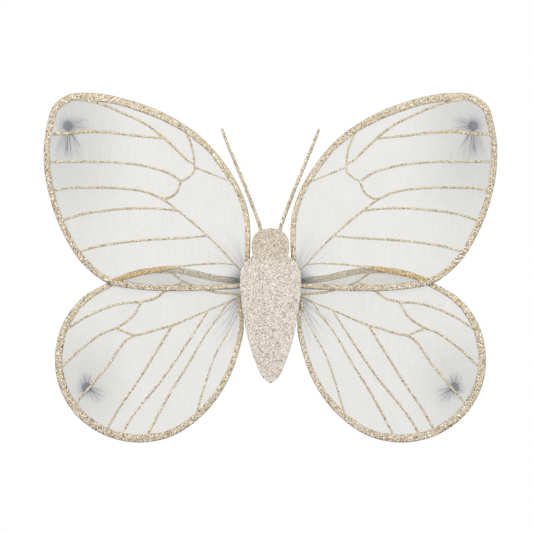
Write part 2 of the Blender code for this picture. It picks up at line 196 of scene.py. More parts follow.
def evenly(path, count):
    """The same path with its points evenly spaced along it."""
    along = np.append(0, np.cumsum(np.linalg.norm(np.diff(path[:, :2], axis=0), axis=1)))
    wanted = np.linspace(0, along[-1], count)
    return np.stack([np.interp(wanted, along, column) for column in path.T], 1)


def travel(path, closed=False):
    """The unit direction of travel at each point of a path."""
    along = np.roll(path, -1, 0) - np.roll(path, 1, 0) if closed else np.gradient(path, axis=0)
    return along / np.linalg.norm(along, axis=1)[:, None]


def leftward(path):
    """The unit direction to the left of travel at each point of a flat path."""
    along = travel(path[:, :2])
    return np.stack([-along[:, 1], along[:, 0]], 1)


def upright(flat, y, side):
    """Points (out, up) of one side's wing as (x, y, z). The depths broadcast over the points."""
    flat = np.asarray(flat, float)
    depth = np.broadcast_to(y, flat.shape[:-1])
    return np.stack([flat[..., 0] * side, depth, flat[..., 1]], -1)


def sweep(path, profile, up, closed=False):
    """Rings of a profile along a path. Its first axis lies across the path, its second along up."""
    path, profile = np.asarray(path, float), np.asarray(profile, float)
    along = travel(path, closed)
    across = np.cross(along, up)
    across = across / np.linalg.norm(across, axis=1)[:, None]
    over = np.cross(across, along)
    return path[:, None] + profile[..., :1] * across[:, None] + profile[..., 1:] * over[:, None]


def circle(sides, radius=1.0):
    """Points round a circle."""
    angle = np.arange(sides) * math.tau / sides
    return np.stack([np.cos(angle), np.sin(angle)], 1) * radius


def grid(rows, round_rows=True, joined=False):
    """The points and faces of a lattice. Rows that close on themselves make a tube, whose two ends are
    capped unless they are joined to each other.
    """
    rows = np.asarray(rows, float)
    index = np.arange(rows.shape[0] * rows.shape[1]).reshape(rows.shape[:2])
    ends = [index[0][::-1].tolist(), index[-1].tolist()] if round_rows and not joined else []
    if round_rows:
        index = np.hstack([index, index[:, :1]])
    if joined:
        index = np.vstack([index, index[:1]])
    faces = np.stack([index[:-1, :-1], index[:-1, 1:], index[1:, 1:], index[1:, :-1]], -1)
    return rows.reshape(-1, 3), faces.reshape(-1, 4).tolist() + ends


def build(name, grids):
    """One object from one or more lattices in millimetres, with its normals outward."""
    points, faces, start = [], [], 0
    for some_points, some_faces in grids:
        points.append(some_points)
        faces += [[corner + start for corner in face] for face in some_faces]
        start += len(some_points)
    mesh = bpy.data.meshes.new(name)
    mesh.from_pydata((np.vstack(points) * MM).tolist(), [], faces)
    shape = bmesh.new()
    shape.from_mesh(mesh)
    bmesh.ops.recalc_face_normals(shape, faces=shape.faces)
    shape.to_mesh(mesh)
    shape.free()
    mesh.shade_smooth()
    obj = bpy.data.objects.new(name, mesh)
    bpy.context.scene.collection.objects.link(obj)
    return obj


def settle(obj, finish, body, nodes=(), bends=None):
    """Finishes a piece: its material and slot, the nodes that it stands for, and how it moves.

    A piece given bends is not attached to any body: its transform is applied to its mesh, and the bends'
    points are not used.
    """
    obj.data.materials.append(finish)
    if nodes:
        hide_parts(*nodes)
    if bends is None:
        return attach(obj, body)
    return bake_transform(obj)


def new_material(name, slot, **values):
    """A material for one slot of the record, with these plain values on its shader.

    It comes with its node tree, its shader and the place of each point on the object.
    """
    made = bpy.data.materials.new(name)
    made.use_nodes = True
    made["slot"] = slot
    shader = made.node_tree.nodes["Principled BSDF"]
    for key, value in values.items():
        shader.inputs[key.replace("_", " ")].default_value = value
    return made, made.node_tree, shader, add_node(made.node_tree, "ShaderNodeTexCoord").outputs["Object"]


# Drawn steel with a dull zinc coat: grey, half glossy, with faint streaks.
steel, tree, shader, place = new_material("galvanised steel", "steel_wire", Metallic=1.0)
streaks = {"Vector": place, "Scale": 1 / (2.2 * MM), "Detail": 3.0}
streaks = add_node(tree, "ShaderNodeTexNoise", streaks).outputs["Fac"]
tint = {0: streaks, 6: "#85878B", 7: "#A7A8AA"}
tint = add_node(tree, "ShaderNodeMix", tint, data_type="RGBA").outputs[2]
tree.links.new(tint, shader.inputs["Base Color"])
gloss = add_node(tree, "ShaderNodeMapRange", {0: streaks, 3: 0.28, 4: 0.5}).outputs[0]
tree.links.new(gloss, shader.inputs["Roughness"])

PLANES = {}
WIRE_PATHS = {}
for level in WING_EDGES:
    low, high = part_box(f"{level}_right_wire")
    PLANES[level] = (low.y + high.y) / 2 / MM
    edge = smooth(WING_EDGES[level], EDGE_STEPS)
    inset = (edge[:, :2] - leftward(edge) * WIRE_INSET)[::EDGE_STEPS]
    WIRE_PATHS[level] = smooth(np.vstack([inset, *WIRE_LEGS[level]]), WIRE_STEPS, closed=True)
    for side_name, side in SIDES.items():
        path = upright(WIRE_PATHS[level], PLANES[level], side)
        rings = sweep(path, circle(10, WIRE_RADIUS), (0, 1, 0), closed=True)
        name = f"{level}_{side_name}"
        wire = build(f"{name}_wire_loop", [grid(rings, joined=True)])
        settle(wire, steel, f"{side_name}_wings", [f"{name}_wire", f"{name}_wire_root"], WING_BENDS[side])

# ---------------------------------------------------------------------------------------------------
# Nylons: a sheer knitted stocking over each wire loop, so two thin skins that wrap round the wire.
# Its open end is gathered into the V, and its closed end is drawn back into the knot.

# How far the cloth stands from the wing's plane: over the wire, then in front and behind between the
# wires, and the distance over which it comes down from the wire.
SKIN_RISE = 1.05
FRONT_REST, BACK_REST = 0.55, 0.3
SKIN_EASE = 12.0
KNOTS = {"upper": (215.1, 180.6), "lower": (195.7, -97.6)}

# How many points of each leg the cloth covers: before the loop and after it.
COVERED_LEGS = {"upper": (2, 1), "lower": (1, 1)}

# Its lattice: the points along the rim, then the rows over the gather, across the wing and round the wire.
RIM_POINTS = 330
GATHER_ROWS, WING_ROWS, TURN_ROWS = 8, 57, 5

# The line at which the pleats leave the body, from the upper leg to the lower one, then the gathered
# end, and the point that the pleats run out from.
ROOT_LINES = {"upper": ((23.6, 36), (29, 13.2)), "lower": ((29.6, 12.2), (30.4, -9.6))}
GATHERED = {"upper": ((11.6, 22.9), (11.6, 19.1)), "lower": ((11.6, 1.9), (11.6, -1.9))}
PLEAT_CENTRES = {"upper": (25.0, 22.0), "lower": (27.0, 4.0)}
PLEATS = 34
PLEAT_SEEDS = {"upper": 11, "lower": 12}

# The way that most pleats run from the body, how strongly they are drawn there, and how much thicker
# they make the cloth.
PLEAT_FANS = {"upper": (0.66, 0.75), "lower": (0.5, -0.87)}
PLEAT_STRENGTH = {"upper": 0.12, "lower": 0.8}
PLEAT_THICKNESS = {"upper": 0.04, "lower": 0.07}

# The ways that the pleats run from each knot, and how much further they reach there than elsewhere:
# the long ones, then the short ones.
KNOT_FANS = {"upper": ((-0.05, -1.0), (-0.98, 0.1)), "lower": ((-0.86, -0.51), (0.1, 0.99))}
KNOT_REACH = {"upper": (26, 11), "lower": (11, 5)}
SHORTEST_REACH = 11

# How opaque one skin is: where it is stretched most, what the tip adds between these distances from the
# middle and these heights, and what the root and the knot add. The root's share is partly gathered cloth
# and partly painted shade beside the body.
REST_THICKNESS = {"upper": 0.22, "lower": 0.24}
TIP_THICKNESS = {"upper": 0.16, "lower": 0.06}
TIP_SPAN = (130, 215)
TIP_HEIGHTS = {"upper": (50, 160), "lower": (-70, 0)}
ROOT_THICKNESS_AND_SHADE = 0.12
KNOT_THICKNESS = 0.13

# Painted shadow: the upper wing's cloth is painted more opaque and darker in a small lens beside the body,
# over the lower wing's border.
LENS_PAINTED_SHADOW = 0.28
LENS_CENTRE = (29, 17)


def ease(value, start, end):
    """0 before start, 1 after end, and smooth between."""
    t = np.clip((np.asarray(value, float) - start) / (end - start), 0, 1)
    return t * t * (3 - 2 * t)


def rim_distance(level, flat):
    """How far each point is from the wing's wire."""
    flat = np.asarray(flat, float)
    path = WIRE_PATHS[level]
    found = np.full(flat.shape[:-1], np.inf)
    for point in path[::2]:
        found = np.minimum(found, np.hypot(flat[..., 0] - point[0], flat[..., 1] - point[1]))
    return found


def front_depth(level, flat):
    """How far the front skin stands before the wing's plane at each point."""
    rise = 1 - ease(rim_distance(level, flat), 1.5, SKIN_EASE)
    return FRONT_REST + (SKIN_RISE - FRONT_REST) * rise


def line_noise(tree, attribute, lines, stretch):
    """Fine lines that run out from a point. The attribute holds (out, up) from it, and a strength.

    The lines lie where a noise round the point crosses its middle value.
    """
    held = add_node(tree, "ShaderNodeAttribute", attribute_name=attribute).outputs["Vector"]
    parts = add_node(tree, "ShaderNodeSeparateXYZ", {0: held})
    flat = add_node(tree, "ShaderNodeCombineXYZ", {0: parts.outputs[0], 1: parts.outputs[1]}).outputs[0]
    reach = add_node(tree, "ShaderNodeVectorMath", {0: flat}, operation="LENGTH").outputs["Value"]
    unit = add_node(tree, "ShaderNodeVectorMath", {0: flat}, operation="NORMALIZE").outputs[0]
    turned = add_node(tree, "ShaderNodeVectorMath", {0: unit, "Scale": lines / math.tau},
                      operation="SCALE").outputs[0]
    drift = add_node(tree, "ShaderNodeMath", {0: reach, 1: stretch}, operation="MULTIPLY").outputs[0]
    drift = add_node(tree, "ShaderNodeCombineXYZ", {2: drift}).outputs[0]
    place = add_node(tree, "ShaderNodeVectorMath", {0: turned, 1: drift}, operation="ADD").outputs[0]
    noise = {"Vector": place, "Scale": 1.0, "Detail": 1.0}
    noise = add_node(tree, "ShaderNodeTexNoise", noise).outputs["Fac"]
    apart = add_node(tree, "ShaderNodeMath", {0: noise, 1: 0.5}, operation="SUBTRACT").outputs[0]
    apart = add_node(tree, "ShaderNodeMath", {0: apart}, operation="ABSOLUTE").outputs[0]
    line = add_node(tree, "ShaderNodeMapRange", {0: apart, 1: 0.0, 2: 0.09, 3: 1.0, 4: 0.0}).outputs[0]
    drawn = {0: line, 1: parts.outputs[2]}
    return add_node(tree, "ShaderNodeMath", drawn, operation="MULTIPLY").outputs[0]


# Sheer off-white nylon: mostly see-through where it is stretched, thicker in its pleats, and painted
# blue-grey there as painted shade in the folds.
nylon, tree, shader, place = new_material("sheer nylon knit", "nylon", Roughness=0.62, Sheen_Weight=0.25,
                                          Specular_IOR_Level=0.3)
root_lines = line_noise(tree, "from_root", 64, 0.012)
knot_lines = line_noise(tree, "from_knot", 58, 0.015)
lines = add_node(tree, "ShaderNodeMath", {0: root_lines, 1: knot_lines}, operation="ADD").outputs[0]
thickness_and_shade = add_node(tree, "ShaderNodeAttribute", attribute_name="thickness_and_shade").outputs["Fac"]
cloud = {"Vector": place, "Scale": 1 / (16 * MM), "Detail": 2.0}
cloud = add_node(tree, "ShaderNodeTexNoise", cloud).outputs["Fac"]
cloud = add_node(tree, "ShaderNodeMapRange", {0: cloud, 3: -0.03, 4: 0.03}).outputs[0]
grain = {"Vector": place, "Scale": 1 / (1.3 * MM), "Detail": 1.0}
grain = add_node(tree, "ShaderNodeTexNoise", grain).outputs["Fac"]
grain = add_node(tree, "ShaderNodeMapRange", {0: grain, 3: -0.04, 4: 0.04}).outputs[0]
# The knit's upright ladders are about 0.3 mm apart. They are drawn 1.1 mm apart so that they show.
stretch = add_node(tree, "ShaderNodeMapping", {"Vector": place, "Scale": (900, 1, 30)}).outputs[0]
wales = {"Vector": stretch, "Scale": 1.0, "Detail": 1.0}
wales = add_node(tree, "ShaderNodeTexNoise", wales).outputs["Fac"]
wales = add_node(tree, "ShaderNodeMapRange", {0: wales, 3: -0.03, 4: 0.03}).outputs[0]
cover = thickness_and_shade
for uneven in (cloud, wales, grain):
    cover = add_node(tree, "ShaderNodeMath", {0: cover, 1: uneven}, operation="ADD").outputs[0]
cover = add_node(tree, "ShaderNodeMath", {0: lines, 1: 0.4, 2: cover}, operation="MULTIPLY_ADD",
                 use_clamp=True).outputs[0]
tree.links.new(cover, shader.inputs["Alpha"])
# Painted shade: the thicker the cover, the bluer grey the cloth is painted, and the knot's pleat lines are
# painted dark grey, for the shade in the folds.
shade = add_node(tree, "ShaderNodeMapRange", {0: cover, 1: 0.22, 2: 0.6}).outputs[0]
tint = {0: shade, 6: "#CAC8BD", 7: "#A5A7AC"}
tint = add_node(tree, "ShaderNodeMix", tint, data_type="RGBA").outputs[2]
tint = {0: knot_lines, 6: tint, 7: "#6C6C6F"}
tint = add_node(tree, "ShaderNodeMix", tint, data_type="RGBA").outputs[2]
tree.links.new(tint, shader.inputs["Base Color"])


def facing(offsets, way, start, end):
    """1 where an offset points this way, and 0 where it points elsewhere."""
    lengths = np.maximum(np.hypot(offsets[..., 0], offsets[..., 1]), 0.01)
    return ease(offsets @ np.array(way) / lengths, start, end)


def hold(obj, name, values, kind="FLOAT"):
    """Keeps a number or a vector at each point of a piece, for its finish to read."""
    held = obj.data.attributes.new(name, kind, "POINT").data
    held.foreach_set("value" if kind == "FLOAT" else "vector", np.asarray(values, np.float32).reshape(-1))


def stocking(level, side_name, side):
    """One stocking: rows that follow the loop, from the front root over the rim to the back."""
    plane = PLANES[level]
    path = WIRE_PATHS[level]
    before, after = COVERED_LEGS[level]
    around = np.roll(path, WIRE_STEPS * before, axis=0)
    covered = WIRE_STEPS * (len(WING_EDGES[level]) + before + after)
    rim = evenly(around[:covered], RIM_POINTS)
    outward = leftward(rim)
    share = np.linspace(0, 1, len(rim))[:, None]
    root = np.array(ROOT_LINES[level][0]) * (1 - share) + np.array(ROOT_LINES[level][1]) * share
    tied = np.array(GATHERED[level][0]) * (1 - share) + np.array(GATHERED[level][1]) * share

    # Across the wing: the gathered end, then out to the rim, closer together towards both ends.
    inner = [tied + (root - tied) * t for t in np.linspace(0, 1, GATHER_ROWS + 1)[:-1]]
    outer = [root + (rim - root) * t for t in (1 - np.cos(np.linspace(0, math.pi, WING_ROWS))) / 2]
    flat = np.array(inner + outer)
    depth = front_depth(level, flat)
    depth[: len(inner)] = FRONT_REST
    depth[-1] = SKIN_RISE

    # The pleats of the root are unevenly wide, and die out towards the middle of the wing.
    rng = np.random.default_rng(PLEAT_SEEDS[level])
    phase = np.cumsum(np.interp(np.linspace(0, 40, len(rim)), np.arange(41), rng.uniform(0.25, 1.0, 41)))
    pleats = np.sin(phase * math.tau * PLEATS / phase[-1])
    reach = np.hypot(flat[..., 0] - PLEAT_CENTRES[level][0], flat[..., 1] - PLEAT_CENTRES[level][1])
    fold = 0.5 * (1 - ease(reach, 10, 58)) * pleats
    fold *= ease(rim_distance(level, flat), 1, 8)

    # Both skins are drawn back into the knot, and ruffled round it.
    to_knot = flat - np.array(KNOTS[level])
    from_knot = np.hypot(to_knot[..., 0], to_knot[..., 1])
    angle = np.arctan2(to_knot[..., 1], to_knot[..., 0])
    drawn = np.exp(-((from_knot / 9) ** 2))
    ruffle = 0.12 * np.sin(angle * 17) * np.exp(-((from_knot / 13) ** 2)) * ease(from_knot, 1, 5)

    front = upright(flat, plane - depth + fold + 0.3 * drawn + ruffle, side)
    back_depth = BACK_REST + (depth - FRONT_REST) * (SKIN_RISE - BACK_REST) / (SKIN_RISE - FRONT_REST)
    back = upright(flat, plane + back_depth + fold + 0.36 * drawn + ruffle, side)
    turns = []
    for turn in np.linspace(0, math.pi, TURN_ROWS + 2)[1:-1]:
        over = rim[:, :2] + outward * math.sin(turn) * SKIN_RISE
        turns.append(upright(over, plane - math.cos(turn) * SKIN_RISE, side))
    rows = np.concatenate([front, turns, back[::-1]])
    obj = build(f"{level}_{side_name}_stocking", [grid(rows, round_rows=False)])

    # What the cloth's finish needs at each point: how thick it is, and where its pleats run.
    flat_rows = np.concatenate([flat, np.repeat(rim[None, :, :2], len(turns), 0), flat[::-1]])
    reach = flat_rows - np.array(PLEAT_CENTRES[level])
    away = np.hypot(reach[..., 0], reach[..., 1])
    fan = facing(reach, PLEAT_FANS[level], 0.72, 0.97)
    knot = flat_rows - np.array(KNOTS[level])
    near = np.hypot(knot[..., 0], knot[..., 1])
    long, short = (facing(knot, way, 0.74, 0.97) for way in KNOT_FANS[level])
    far = SHORTEST_REACH + KNOT_REACH[level][0] * long + KNOT_REACH[level][1] * short
    outmost = ease(flat_rows[..., 0], *TIP_SPAN)
    height = ease(flat_rows[..., 1], *TIP_HEIGHTS[level])
    if level == "upper":
        tip = outmost * (0.3 + 0.7 * height)
    else:
        tip = outmost * (1 - height) + (1 - ease(near, 6, 62))
    thick_and_shade = REST_THICKNESS[level] + TIP_THICKNESS[level] * tip
    thick_and_shade += (ROOT_THICKNESS_AND_SHADE * (1 - ease(away, 2, 24))
              + PLEAT_THICKNESS[level] * (1 - ease(away, 8, 72)) * (0.3 + 0.7 * fan))
    if level == "upper":
        lens = np.hypot((flat_rows[..., 0] - LENS_CENTRE[0]) * 0.55, flat_rows[..., 1] - LENS_CENTRE[1])
        thick_and_shade += LENS_PAINTED_SHADOW * (1 - ease(lens, 1, 14))
    thick_and_shade += KNOT_THICKNESS * np.exp(-((near / 6) ** 4)) + KNOT_THICKNESS * (1 - ease(near, 0, 1.4 * far))
    strength = (0.4 + 0.6 * np.maximum(long, short)) * (1 - ease(near, 4, far + 3)) * 1.15
    pleat_strength = (1 - ease(away, 6, 24 + 42 * fan)) * (0.25 + PLEAT_STRENGTH[level] * fan)
    hold(obj, "thickness_and_shade", thick_and_shade)
    hold(obj, "from_root", np.concatenate([reach, pleat_strength[..., None]], -1), "FLOAT_VECTOR")
    hold(obj, "from_knot", np.concatenate([knot, strength[..., None]], -1), "FLOAT_VECTOR")
    across, up = path.T
    area = 0.5 * abs(np.dot(across, np.roll(up, 1)) - np.dot(up, np.roll(across, 1)))
    size = np.ptp(path, axis=0)
    return obj, area * MM * MM, tuple(size * MM)


for level in WING_EDGES:
    for side_name, side in SIDES.items():
        name = f"{level}_{side_name}"
        cloth, area, size = stocking(level, side_name, side)
        settle(cloth, nylon, f"{side_name}_wings", [f"{name}_fabric", f"{name}_gather"], WING_BENDS[side])

# ---------------------------------------------------------------------------------------------------
# Glitter borders: a raised band of champagne glitter glue round the front of each wing, just inside
# the wire, wider at the tip than at the root.


def glitter(name, slot, dark, middle, light, tone_and_painted_light, flake=0.9, metal=0.45, tilt=1.05):
    """Loose metal flakes in clear glue: each one has its own tint and its own tilt.

    Real flakes are about 0.4 mm across. They are drawn larger, so that they still show one by one.
    The tone and painted light argument is how the flakes are tinted where the piece's attribute of that
    name is 1: a blend and a colour. On the borders it is painted light, on the head painted shade, and on
    broad veins a deeper tone of the glue.
    """
    made, tree, shader, place = new_material(name, slot, Metallic=metal, Coat_Weight=0.15,
                                             Coat_Roughness=0.3)
    cells = add_node(tree, "ShaderNodeTexVoronoi", {"Vector": place, "Scale": 1 / (flake * MM)})
    random = cells.outputs["Color"]
    parts = add_node(tree, "ShaderNodeSeparateColor", {0: random})
    low = add_node(tree, "ShaderNodeMapRange", {0: parts.outputs[0], 1: 0.0, 2: 0.36}).outputs[0]
    high = add_node(tree, "ShaderNodeMapRange", {0: parts.outputs[0], 1: 0.62, 2: 1.0}).outputs[0]
    tint = {0: low, 6: dark, 7: middle}
    tint = add_node(tree, "ShaderNodeMix", tint, data_type="RGBA").outputs[2]
    tint = {0: high, 6: tint, 7: light}
    tint = add_node(tree, "ShaderNodeMix", tint, data_type="RGBA").outputs[2]
    share = add_node(tree, "ShaderNodeAttribute", attribute_name="tone_and_painted_light").outputs["Fac"]
    tint = {0: share, 6: tint, 7: tone_and_painted_light[1]}
    tint = add_node(tree, "ShaderNodeMix", tint, data_type="RGBA", blend_type=tone_and_painted_light[0]).outputs[2]
    tree.links.new(tint, shader.inputs["Base Color"])
    rough = add_node(tree, "ShaderNodeMapRange", {0: parts.outputs[1], 3: 0.2, 4: 0.55}).outputs[0]
    tree.links.new(rough, shader.inputs["Roughness"])
    surface = add_node(tree, "ShaderNodeNewGeometry").outputs["Normal"]
    lean = add_node(tree, "ShaderNodeVectorMath", {0: random, 1: (0.5, 0.5, 0.5)}, operation="SUBTRACT")
    lean = add_node(tree, "ShaderNodeVectorMath", {0: lean.outputs[0], "Scale": tilt}, operation="SCALE")
    leant = add_node(tree, "ShaderNodeVectorMath", {0: surface, 1: lean.outputs[0]}, operation="ADD")
    leant = add_node(tree, "ShaderNodeVectorMath", {0: leant.outputs[0]}, operation="NORMALIZE")
    tree.links.new(leant.outputs[0], shader.inputs["Normal"])
    return made


# Champagne glitter: pale beige with tan and near-white flecks. Where its attribute is 1 it is screened
# paler: painted light.
champagne = glitter("champagne glitter", "champagne_glitter", "#67481F", "#E0CDAE", "#FFFEF6",
                    tone_and_painted_light=("SCREEN", "#7C6A42"))

# How far the band starts inside the wing's edge, how deep its glue lies in the cloth, and how high it
# stands over it.
BAND_INSET = 0.5
BAND_SINK = 0.12
BAND_RISE = 0.5
BAND_POINTS = 700
BAND_SEEDS = {"upper": 21, "lower": 22}

# Where each border runs on past the ends of the wing's edge, to the body.
BAND_ENDS = {"upper": ([(22.4, 36.5, 5.6)], []), "lower": ([], [(30.5, -8, 4.8), (31.2, -1.5, 3.4)])}


def wander(count, every, amount, rng):
    """A slow random drift for so many points, with a fresh value every few of them."""
    fresh = max(int(count / every) + 2, 3)
    values = rng.uniform(-amount, amount, fresh)
    return np.interp(np.linspace(0, fresh - 1, count), np.arange(fresh), values)


for level in WING_EDGES:
    rng = np.random.default_rng(BAND_SEEDS[level])
    first, last = BAND_ENDS[level]
    edge = evenly(smooth([*first, *WING_EDGES[level], *last], 8), BAND_POINTS)
    outward = leftward(edge)
    count = len(edge)
    outer = BAND_INSET + wander(count, 9, 0.14, rng)
    inner = edge[:, 2] + wander(count, 14, 0.45, rng) + wander(count, 4, 0.22, rng)
    across = np.linspace(0, 1, 10)
    inward = outer[:, None] + (inner - outer)[:, None] * across
    flat = edge[:, None, :2] - outward[:, None] * inward[..., None]
    base = front_depth(level, flat) - BAND_SINK
    dome = np.clip(1 - (2 * across - 1) ** 4, 0, 1) ** 0.5
    grain = rng.uniform(-0.1, 0.1, (count, len(across)))
    height = base + BAND_SINK + (BAND_RISE + grain) * dome
    for side_name, side in SIDES.items():
        top = upright(flat, PLANES[level] - height, side)
        bottom = upright(flat[:, 1:-1], PLANES[level] - base[:, 1:-1], side)
        name = f"{level}_{side_name}"
        ring = np.concatenate([top, bottom[:, ::-1]], 1)
        band = build(f"{name}_glitter_border", [grid(ring)])
        # Painted light: the glue is painted paler close to the body, to lift the shade that the body casts
        # there, and along the upper edges, where light from above falls.
        tone_and_painted_light = 1 - ease(np.abs(ring[..., 0]), 32, 78)
        hold(band, "tone_and_painted_light", np.maximum(tone_and_painted_light, 0.75 * ease(outward[:, 1:], -0.1, 0.7)))
        settle(band, champagne, f"{side_name}_wings", [f"{name}_glitter_edge"], WING_BENDS[side])

# ---------------------------------------------------------------------------------------------------
# Veins: branching beads of golden glitter glue, squeezed onto the front skin by hand.

# Each vein from its root end to its outer end. A third number makes it that many times as broad.
VEINS = {
    "upper": [
        [(30, 25), (36.6, 32.3), (49.5, 46.7), (66.8, 64), (97.8, 90.4), (112.4, 101.4), (129.7, 109.6),
         (159, 114.2), (195.5, 115.1), (217.4, 114.2), (232, 111.6)],
        [(97.8, 90.4), (113.3, 92.3), (140.7, 93.2), (177.2, 90.4), (199.1, 86.8), (223, 79.4)],
        [(66.8, 64), (86, 62.1), (122.4, 60), (159, 56.7), (177.2, 53.9), (207, 46.6)],
        [(30, 25, 1), (36.6, 32.3, 1), (46.4, 34.2, 1), (67.7, 34.2, 1), (96, 31.4, 1), (112, 29.2, 2.1),
         (127.7, 26.6, 2.4), (149, 21.8, 2.4), (168, 15.8, 2.1)],
        [(112.4, 167.1, 1), (140.7, 169.8, 1), (184.5, 174.4, 1.25), (199.1, 174.4, 1.45),
         (212, 172.5, 1.45), (235, 171.7, 1.3)],
        [(209, 209.5), (184.5, 204.9), (151.7, 191.7), (131.6, 181.7), (112.4, 167.1), (98.7, 154.3),
         (88.7, 144.3), (80.5, 139)],
        [(91.8, 178), (84.1, 160.7), (80.5, 140.1), (80.5, 133.3), (86.9, 126), (95.1, 121.5)],
        [(80.5, 137), (67.7, 131.5), (53.1, 125.7), (40, 120)],
        [(95.1, 121.5), (104.2, 128.2), (129.7, 137), (169.9, 142.1), (204.6, 142.6), (236.5, 142.5)],
        [(95.1, 121.5), (98.7, 111.4), (104.2, 106), (111, 103.4), (119, 104.6)],
    ],
    "lower": [
        [(92.2, 15.4), (102, 10.3), (113.3, 4), (122.4, -2.4), (137, -6), (159, -8.2), (177.2, -13.7),
         (195.5, -22.1), (217, -35.5)],
        [(137, -6), (146.2, -21.5), (164.4, -33.9), (177.2, -39.2), (195.5, -51.6), (224.5, -78)],
        [(164.4, -34.3), (155.3, -37.9), (145.3, -42)],
        [(30, 1), (44, -6), (67.7, -15.5), (104.2, -31), (122.4, -36.1), (133.4, -39.8), (145.3, -42.1),
         (173.6, -75.4), (195.5, -100.9), (210.5, -118)],
        [(104.2, -31), (122.4, -60.8), (146.2, -98.2), (159, -116.4), (175, -144)],
        [(65.9, -15.1), (85.9, -46.2), (113.3, -86.3), (148, -130.1), (159.5, -149)],
        [(30, 1), (44, -6.9), (54.9, -21.5), (67.7, -38.9), (85.9, -69.9), (104.2, -99.1), (131.5, -149)],
        [(33.6, -0.6), (34.8, -17), (40.3, -29.7), (58.6, -62.6), (69.5, -93.6), (79.5, -128)],
        [(30, 0.8, 1.7), (40.4, 2.3, 1.8), (58.6, 4.1, 1.6), (74.7, 8.7, 1), (92.2, 15.4, 1),
         (107, 26.5, 1)],
    ],
}

# A bead's half width, its height, how deep it lies in the cloth, and the spacing of its rings.
VEIN_HALF_WIDTH = 1.2
VEIN_RISE = 0.62
VEIN_SINK = 0.1
VEIN_STEP = 1.1
VEIN_SEEDS = {"upper": 31, "lower": 32}

# Golden glitter: the same flakes in a deeper glue, yellower and more even than the border.
gold = glitter("golden glitter", "golden_glitter", "#8C7242", "#E2D2AF", "#FFFAEA",
               tone_and_painted_light=("MULTIPLY", "#F2E2C6"), metal=0.32)

for level, routes in VEINS.items():
    for side_name, side in SIDES.items():
        rng = np.random.default_rng(VEIN_SEEDS[level])
        beads, broad = [], []
        for route in routes:
            path = smooth([(*point, 1)[:3] for point in route], 6)
            length = np.linalg.norm(np.diff(path, axis=0), axis=1).sum()
            path = evenly(path, int(length / VEIN_STEP))
            # The glue is deeper in tone where the bead is broad.
            broad.append(ease(path[:, 2], 1.5, 2.2))
            # A bead is narrower near the body, uneven along its length, and rounded off at its ends.
            swell = path[:, 2] * (0.6 + 0.4 * ease(path[:, 0], 34, 110))
            swell += wander(len(path), 6, 0.1, rng) + wander(len(path), 2, 0.05, rng)
            ends = np.minimum(np.arange(len(path)), np.arange(len(path))[::-1])
            swell *= np.sqrt(np.clip((ends + 0.25) / 1.6, 0, 1))
            depth = front_depth(level, path[:, :2]) - VEIN_SINK
            ring = circle(10)
            across = ring[None, :, 0] * VEIN_HALF_WIDTH * swell[:, None]
            grain = 1 + rng.uniform(-0.12, 0.12, across.shape)
            over = np.where(ring[:, 1] < 0, ring[:, 1] * 0.15, ring[:, 1]) * VEIN_RISE
            over = over * grain * np.minimum(swell, 1)[:, None]
            # The profile's second axis points forward, out of the wing.
            profile = np.stack([across * (2 * grain + 1) / 3, over], -1)
            middle = upright(path[:, :2], PLANES[level] - depth, side)
            beads.append(grid(sweep(middle, profile, (0, -1, 0))))
        name = f"{level}_{side_name}"
        veins = build(f"{name}_vein_beads", beads)
        hold(veins, "tone_and_painted_light", np.repeat(np.concatenate(broad), len(ring)))
        settle(veins, gold, f"{side_name}_wings", [f"{name}_veins"], WING_BENDS[side])

# ---------------------------------------------------------------------------------------------------
# Knots: the closed end of each stocking, twisted into a puckered button behind the wing and wound
# with thread.

# Many layers of the same nylon, drawn tight: dark grey, painted darker still in its folds as painted
# shade.
bunched, tree, shader, place = new_material("bunched nylon", "grey_nylon_knot", Roughness=0.85,
                                            Sheen_Weight=0.3)
folds_and_shade = {"Vector": place, "Scale": 1 / (1.2 * MM), "Detail": 2.0}
folds_and_shade = add_node(tree, "ShaderNodeTexNoise", folds_and_shade).outputs["Fac"]
tint = {0: folds_and_shade, 6: "#19181B", 7: "#77767A"}
tint = add_node(tree, "ShaderNodeMix", tint, data_type="RGBA").outputs[2]
tree.links.new(tint, shader.inputs["Base Color"])
raised = add_node(tree, "ShaderNodeBump", {"Height": folds_and_shade, "Distance": 0.3 * MM})
tree.links.new(raised.outputs[0], shader.inputs["Normal"])


def spun_cotton(name, slot, dark, light, **values):
    """Cotton thread: dull, with the lighter and darker turns of its ply."""
    made, tree, shader, place = new_material(name, slot, **values)
    ply = {"Vector": place, "Scale": 1 / (0.5 * MM), "Detail": 1.0}
    ply = add_node(tree, "ShaderNodeTexNoise", ply).outputs["Fac"]
    tint = {0: ply, 6: dark, 7: light}
    tint = add_node(tree, "ShaderNodeMix", tint, data_type="RGBA").outputs[2]
    tree.links.new(tint, shader.inputs["Base Color"])
    return made


# Dark grey for what winds and binds the wires, and beige for the ties over the glitter borders.
thread = spun_cotton("dark cotton thread", "dark_thread", "#46454A", "#6E6C72", Roughness=0.9,
                     Sheen_Weight=0.2)
beige_thread = spun_cotton("beige cotton thread", "dark_thread", "#8F7C60", "#C7B698", Roughness=0.85)


# Half of a button's section, as (out, deep) in shares of its radius and of half its depth: from the
# front dimple over the edge and the waist to the twisted tail at the back.
BUTTON_SECTION = [(0.06, -0.55), (0.25, -0.7), (0.5, -0.92), (0.75, -0.95), (0.93, -0.7), (1.0, -0.25),
                  (0.97, 0.2), (0.8, 0.42), (0.62, 0.5), (0.55, 0.62), (0.6, 0.8), (0.48, 0.97),
                  (0.25, 0.92), (0.06, 0.75)]

# How deep the puckers are, and where the thread is wound, in shares of the button's radius.
PUCKER = 0.07
WAIST = 0.6


